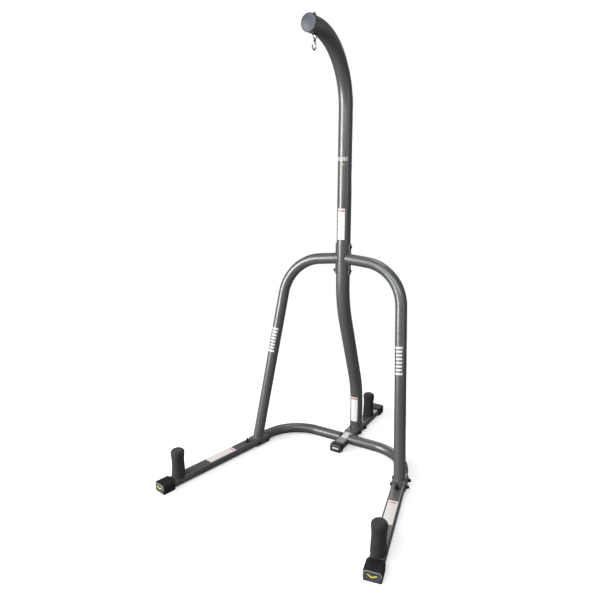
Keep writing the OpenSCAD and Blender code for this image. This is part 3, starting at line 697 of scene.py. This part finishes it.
for label in ("left", "right", "rear"):
    across = legDirections(label)[1]
    node, centre = label + "_foot_cap", legPoint(label, faceSetup["fromEnd"], faceSetup["middleZ"])
    # the face plate's lighter grey is painted light on the cap's front face
    layDecal(
        label + "CapFace", node, centre, across, upwards, faceSetup["size"], "facePlatePaintedLight",
        grid=(16, 12), thick=faceSetup["thick"], rounding=faceSetup["rounding"],
    )
    layRim(label + "CapRim", node, centre, across, faceSetup["size"], faceSetup["rim"])
for label in ("left", "right", "rear"):
    across = legDirections(label)[1]
    node, centre = label + "_foot_cap", legPoint(label, faceSetup["fromEnd"], faceSetup["middleZ"])
    for strokeName, stroke in strokes.items():
        turn = math.radians(stroke["turn"])
        layDecal(
            label + "CapStroke" + strokeName, node,
            centre + across * stroke["at"][0] + upwards * stroke["at"][1],
            across * math.cos(turn) + upwards * math.sin(turn),
            upwards * math.cos(turn) - across * math.sin(turn),
            stroke["size"], "yellowInk", grid=(6, 2), thick=strokeThick,
        )

centreCapSetup = {
    "ahead": 0.04, "z": 0.022, "size": (0.058, 0.032),
    "rim": {"rounding": 0.009, "drop": 0.9, "bead": 0.0009},
    "marks": 4, "pitch": 0.0095, "markZ": 0.0215, "mark": (0.0072, 0.0125), "lean": 0.15,
}
capY = mastAxisY - centreCapSetup["ahead"]
layRim(
    "centreCapRim", "centre_foot_cap", (0, capY, centreCapSetup["z"]), rightwards,
    centreCapSetup["size"], centreCapSetup["rim"],
)

# Rings pressed into the plug in the gooseneck's end
tipRings = {
    "Inner": {"radius": 0.0292, "bead": 0.0011, "look": "tipRim"},
    "Outer": {"radius": 0.0346, "bead": 0.0011, "look": "foot_cap"},
}
tipSteps, tipDip = 72, math.radians(3.0)
tipRay = {"start": 0.05, "reach": 0.2}
tipLow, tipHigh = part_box("mast_tip_cap")
tipTree = nodeTree("mast_tip_cap")
tipCentre = Vector((0, tipLow.y, (tipLow.z + tipHigh.z) / 2))
tipOut = Vector((0, -math.cos(tipDip), -math.sin(tipDip)))
tipUp = tipOut.cross(rightwards)
for ringName, ring in tipRings.items():
    ringPoints = []
    for k in range(tipSteps):
        turn = 2 * math.pi * k / tipSteps
        aside = (rightwards * math.cos(turn) + tipUp * math.sin(turn)) * ring["radius"]
        start = tipCentre + aside + tipOut * tipRay["start"]
        ringPoints.append(tipTree.ray_cast(start, -tipOut, tipRay["reach"])[0])
    verts, faces = tubeAlong(ringPoints, [ring["bead"]] * tipSteps, True, sides=8)
    addPiece("tipCapRing" + ringName, verts, faces, "stand", materials[ring["look"]])
for k in range(centreCapSetup["marks"]):
    x = centreCapSetup["pitch"] * (k - (centreCapSetup["marks"] - 1) / 2)
    layDecal(
        f"centreCapMark{k + 1}", "centre_foot_cap", (x, capY, centreCapSetup["markZ"]), rightwards,
        upwards, centreCapSetup["mark"], "whiteInk", grid=(2, 2),
        lean=centreCapSetup["lean"], thick=faceSetup["thick"],
    )
print("caps are finished")


# Foam sleeves

sleeveSetup = {
    "radius": 0.0335, "waist": 0.0032, "waistAt": 0.6, "waistPower": 1.6, "dome": 0.015, "foot": 0.004,
    "bore": 0.01285, "boreDepth": 0.124, "steps": 72,
    "wobble": 0.0005, "lobes": 3, "rings": 34, "twist": 30,
}
crownMiddle = 0.0006  # the small flat spot in the middle of the crown and of the bore's end


def sleeveProfile(height, radius):
    # outside from the foot up, over the crown, then down the bore
    s = sleeveSetup
    crown = radius - s["dome"]
    profile = [(radius - s["foot"], 0.0)]
    for k in range(1, 5):
        turn = math.pi / 2 * k / 4
        profile.append((radius - s["foot"] + s["foot"] * math.sin(turn), s["foot"] * (1 - math.cos(turn))))
    for k in range(1, 24):
        t = k / 24
        z = s["foot"] + (height - s["foot"] - s["dome"]) * t
        if t < s["waistAt"]:
            where = 0.5 * t / s["waistAt"]
        else:
            where = 0.5 + 0.5 * (t - s["waistAt"]) / (1 - s["waistAt"])
        pinch = s["waist"] * math.sin(math.pi * where) ** s["waistPower"]
        profile.append((radius - pinch, z))
    for k in range(9):
        turn = math.pi / 2 * k / 8
        fall = s["dome"] * (1 - math.sin(turn))
        profile.append((crown + s["dome"] * math.cos(turn), height - fall))
    profile += [(crown * 0.66, height), (crown * 0.3, height - 0.0002), (crownMiddle, height - 0.0004)]
    profile += [(crownMiddle, s["boreDepth"])]
    profile += [(s["bore"], s["boreDepth"] * share) for share in (1.0, 0.5, 0.0)]
    return profile


for label in ("left", "right", "rear"):
    low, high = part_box(label + "_foam_sleeve")
    centre = sleeveCentre(label)
    profile = sleeveProfile(high.z - low.z, sleeveSetup["radius"])
    verts, faces = latheAround(centre, profile, sleeveSetup["steps"])
    phase = random.uniform(0, 6)
    shaped = []
    for x, y, z in verts:
        dx, dy, h = x - centre.x, y - centre.y, z - low.z
        reach = math.hypot(dx, dy)
        if reach > sleeveSetup["bore"] * 1.4:
            angle = math.atan2(dy, dx)
            around = math.sin(sleeveSetup["lobes"] * angle + phase + sleeveSetup["twist"] * h)
            bulge = around * math.sin(sleeveSetup["rings"] * h + phase) - 1
            factor = 1 + sleeveSetup["wobble"] * bulge / reach
            dx, dy = dx * factor, dy * factor
        shaped.append((centre.x + dx, centre.y + dy, z))
    sleeve = addPiece(label + "FoamSleeve", shaped, faces, label + "_sleeve", materials["foam"])
    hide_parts(label + "_foam_sleeve")
print("foam sleeves are made")


# Weld beads

weldSetup = {"radius": 0.0026, "ripple": 0.17, "rippleLength": 0.0042}
archWelds = {"footZ": (0.17, 0.12), "aside": (0.07, 0.10), "above": 1.05, "spread": 0.08}
crossbarSetup = {"behind": 0.027, "aside": 0.08, "radius": 0.0268}
mastWeld = {"above": 0.12, "steps": 190}
pegWeld = {"radius": 0.0128, "bead": 0.0009, "steps": 72}


def layWeld(name, hits, closed):
    # a rippled bead through the points where two pieces meet
    points = [Vector(p) for p in hits]
    travelled, radii = 0.0, []
    for k, point in enumerate(points):
        travelled += (point - points[k - 1]).length if k else 0
        wave = math.sin(2 * math.pi * travelled / weldSetup["rippleLength"])
        radii.append(weldSetup["radius"] * (1 + weldSetup["ripple"] * wave))
    verts, faces = tubeAlong(points, radii, closed, sides=8)
    return addPiece(name, verts, faces, "stand", materials["frame"])


def tubeOntoNode(centre, along, radius, node, steps=150, reach=0.25):
    # where the lines of a tube's surface, followed along it, first meet another node
    tree = nodeTree(node)
    along = Vector(along).normalized()
    side = along.orthogonal().normalized()
    other = along.cross(side)
    found = []
    for k in range(steps):
        turn = 2 * math.pi * k / steps
        start = Vector(centre) + radius * (math.cos(turn) * side + math.sin(turn) * other)
        found.append(tree.ray_cast(start, along, reach)[0])
    return found


def longestRun(found):
    # the longest unbroken run of hits round the tube, and whether it goes all the way
    if all(hit is not None for hit in found):
        return found, True
    count = len(found)
    best, current = [], []
    for hit in found + found:
        current = current + [hit] if hit is not None else []
        if len(current) > len(best) and len(current) <= count:
            best = current
    return best, False


def archTopAt(label, aside):
    # centre of an arch's level stretch, beside the mast
    at = (sides[label] * aside, mastAxisY, archWelds["above"])
    return tubeCentre(archTrees[label], at, -upwards, backwards, archRadius, spread=archWelds["spread"])


def weldTube(name, centre, along, radius, node, **settings):
    run, closed = longestRun(tubeOntoNode(centre, along, radius, node, **settings))
    layWeld(name, run, closed)


for label, side in sides.items():
    high, low = (archLegAt(label, z) for z in archWelds["footZ"])
    weldTube(label + "ArchFootWeld", low, low - high, archRadius, label + "_arch_foot")
    near, far = (archTopAt(label, aside) for aside in archWelds["aside"])
    weldTube(label + "ArchHeadWeld", near, near - far, archRadius, "mast_bracket")
    barLow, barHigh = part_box(label + "_crossbar")
    barX, barY = side * crossbarSetup["aside"], barHigh.y - crossbarSetup["behind"]
    barStart = (barX, barY, (barLow.z + barHigh.z) / 2)
    weldTube(label + "CrossbarWeld", barStart, (-side, 0, 0), crossbarSetup["radius"], "centre_tube")
mastStart = (0, footAxisY, mastWeld["above"])
weldTube("mastFootWeld", mastStart, (0, 0, -1), mastRadius, "mast_foot", steps=mastWeld["steps"])
for label in ("left", "right", "rear"):
    centre = sleeveCentre(label)
    ring = []
    for k in range(pegWeld["steps"]):
        turn = 2 * math.pi * k / pegWeld["steps"]
        outward = Vector((math.cos(turn), math.sin(turn), 0))
        ring.append(Vector((centre.x, centre.y, legTopZ)) + outward * pegWeld["radius"])
    verts, faces = tubeAlong(ring, [pegWeld["bead"]] * pegWeld["steps"], True, sides=6)
    addPiece(label + "PegWeld", verts, faces, "stand", materials["frame"])
print("welds are laid")


# Floor

floorSetup = {
    "size": 16.0, "drop": 0.0005, "seen": (0.9, 0.9, 0.9, 1), "cast": (0.22, 0.22, 0.22, 1),
    "roughness": 0.8, "specular": 0.1, "glow": 0.36, "fade": (1.1, 2.4),
}
bpy.ops.mesh.primitive_plane_add(size=floorSetup["size"], location=(0, 0, -floorSetup["drop"]))
floor = bpy.context.object
floor.name = "floor"


def paleFloor(setup):
    # pale where the camera looks, darker for the light that it throws back, and fading out far from
    # the stand
    material = bpy.data.materials.new("paleFloor")
    material.use_nodes = True
    tree = material.node_tree
    seen = tree.nodes["Principled BSDF"]
    cast = addNode(tree, "ShaderNodeBsdfPrincipled")
    for shader, colour in ((seen, setup["seen"]), (cast, setup["cast"])):
        shader.inputs["Base Color"].default_value = colour
        shader.inputs["Roughness"].default_value = setup["roughness"]
        shader.inputs["Specular IOR Level"].default_value = setup["specular"]
    seen.inputs["Emission Color"].default_value = (1, 1, 1, 1)
    seen.inputs["Emission Strength"].default_value = setup["glow"]
    ray = addNode(tree, "ShaderNodeLightPath")
    byRay = addNode(tree, "ShaderNodeMixShader")
    tree.links.new(ray.outputs["Is Camera Ray"], byRay.inputs[0])
    tree.links.new(cast.outputs["BSDF"], byRay.inputs[1])
    tree.links.new(seen.outputs["BSDF"], byRay.inputs[2])
    place = addNode(tree, "ShaderNodeTexCoord")
    reach = addNode(tree, "ShaderNodeVectorMath", operation="LENGTH")
    fade = addNode(tree, "ShaderNodeMapRange", interpolation_type="SMOOTHSTEP")
    fade.inputs["From Min"].default_value, fade.inputs["From Max"].default_value = setup["fade"]
    clear = addNode(tree, "ShaderNodeBsdfTransparent")
    edge = addNode(tree, "ShaderNodeMixShader")
    tree.links.new(place.outputs["Object"], reach.inputs[0])
    tree.links.new(reach.outputs["Value"], fade.inputs["Value"])
    tree.links.new(fade.outputs["Result"], edge.inputs[0])
    tree.links.new(byRay.outputs["Shader"], edge.inputs[1])
    tree.links.new(clear.outputs["BSDF"], edge.inputs[2])
    tree.links.new(edge.outputs["Shader"], tree.nodes["Material Output"].inputs["Surface"])
    return material


floor.data.materials.append(paleFloor(floorSetup))

print("scene is ready")
